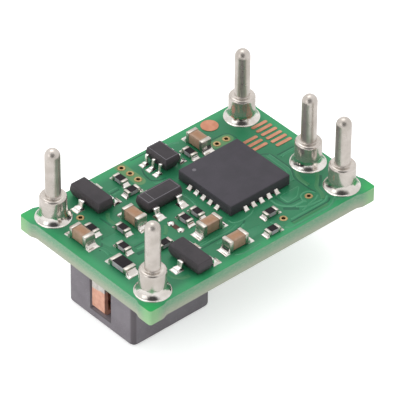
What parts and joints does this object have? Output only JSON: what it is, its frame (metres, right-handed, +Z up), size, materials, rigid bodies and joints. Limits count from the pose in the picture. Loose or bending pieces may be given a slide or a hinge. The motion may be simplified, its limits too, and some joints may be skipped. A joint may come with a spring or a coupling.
{
  "type": "buck converter module",
  "caption": "Small through-hole step-down power module: green board with a switching controller, chip parts, shouldered pins and a ferrite power inductor.",
  "frame": {"origin": "under the middle of the board, on the plane that the inductor rests on", "axes": "+Z up, the way the pins point; +X along the board towards the end with more pins"},
  "size_m": [0.019, 0.0126, 0.0111],
  "materials": {
    "board": "satin",
    "pin_metal": "polished",
    "solder": "polished",
    "copper": "satin",
    "tin_leads": "satin",
    "winding_copper": "satin",
    "core": "matte",
    "mould_compound": "matte",
    "capacitor_ceramic": "satin",
    "resistor_ceramic": "satin",
    "resistor_film": "satin",
    "bare_laminate": "matte"
  },
  "bodies": {
    "root": {"bare_solder_bumps": "solder", "bare_strip": "bare_laminate", "capacitor_1": "capacitor_ceramic", "capacitor_1_end_caps": "tin_leads", "capacitor_2": "capacitor_ceramic", "capacitor_2_end_caps": "tin_leads", "capacitor_3": "capacitor_ceramic", "capacitor_3_end_caps": "tin_leads", "capacitor_4": "capacitor_ceramic", "capacitor_4_end_caps": "tin_leads", "capacitor_5": "capacitor_ceramic", "capacitor_5_end_caps": "tin_leads", "capacitor_solder": "solder", "circuit_board": "board", "controller_body": "mould_compound", "controller_solder": "solder", "controller_terminals": "tin_leads", "copper_marks": "copper", "driver_body": "mould_compound", "driver_leads": "tin_leads", "driver_solder": "solder", "inductor_core": "core", "inductor_core_plate": "core", "inductor_lands": "copper", "inductor_solder": "solder", "inductor_winding": "winding_copper", "large_resistor_bodies": "resistor_ceramic", "large_resistor_films": "resistor_film", "large_resistor_solder": "solder", "large_resistor_terminations": "tin_leads", "output_capacitor_1": "capacitor_ceramic", "output_capacitor_1_end_caps": "tin_leads", "output_capacitor_2": "capacitor_ceramic", "output_capacitor_2_end_caps": "tin_leads", "output_capacitor_solder": "solder", "pin_1": "pin_metal", "pin_2": "pin_metal", "pin_3": "pin_metal", "pin_4": "pin_metal", "pin_5": "pin_metal", "pin_solder_collars": "solder", "pin_tail_solder": "solder", "resistor_bodies": "resistor_ceramic", "resistor_films": "resistor_film", "resistor_solder": "solder", "resistor_terminations": "tin_leads", "transistor_1_body": "mould_compound", "transistor_1_leads": "tin_leads", "transistor_1_solder": "solder", "transistor_2_body": "mould_compound", "transistor_2_leads": "tin_leads", "transistor_2_solder": "solder", "transistor_3_body": "mould_compound", "transistor_3_leads": "tin_leads", "transistor_3_solder": "solder", "via_plug": "copper", "vias": "copper"}
  },
  "joints": []
}
